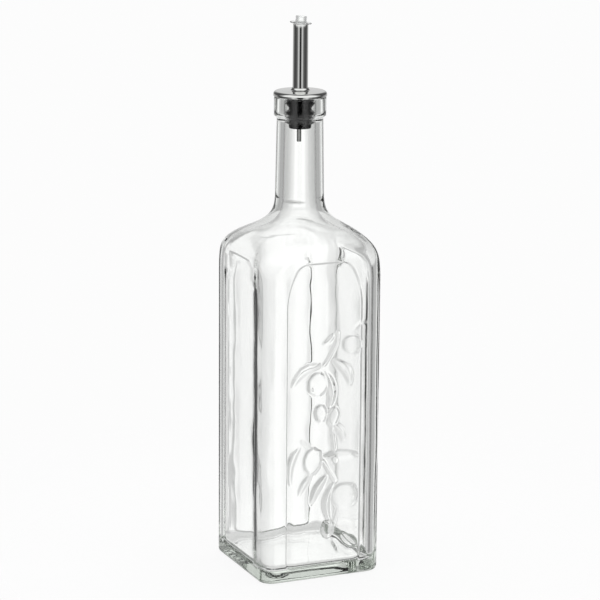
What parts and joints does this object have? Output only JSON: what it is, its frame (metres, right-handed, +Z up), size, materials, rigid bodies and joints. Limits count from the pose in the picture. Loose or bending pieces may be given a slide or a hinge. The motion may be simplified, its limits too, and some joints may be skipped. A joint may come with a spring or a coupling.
{
  "type": "oil and vinegar bottle",
  "caption": "Tall square clear glass bottle with arched sunken panels, round neck and a push-in steel pourer with a straight spout and a small mouth plug.",
  "frame": {"origin": "centre of the base, on the surface the bottle stands on", "axes": "+Z up along the axis of the neck; -Y is the front panel, with the olive branch; +X to its right; the four sides face along X and Y"},
  "size_m": [0.08, 0.08, 0.3447],
  "materials": {
    "clear_glass": "clear, smooth soda-lime glass with a faint green-grey tint",
    "polished_steel": "polished stainless steel",
    "black_rubber": "smooth black rubber",
    "clear_plastic": "soft translucent milky plastic"
  },
  "bodies": {
    "root": {"bottle": "clear_glass", "dome_cap": "polished_steel", "spout": "polished_steel", "stopper": "black_rubber", "vent_tube": "polished_steel", "tip_cap": "clear_plastic"}
  },
  "joints": []
}
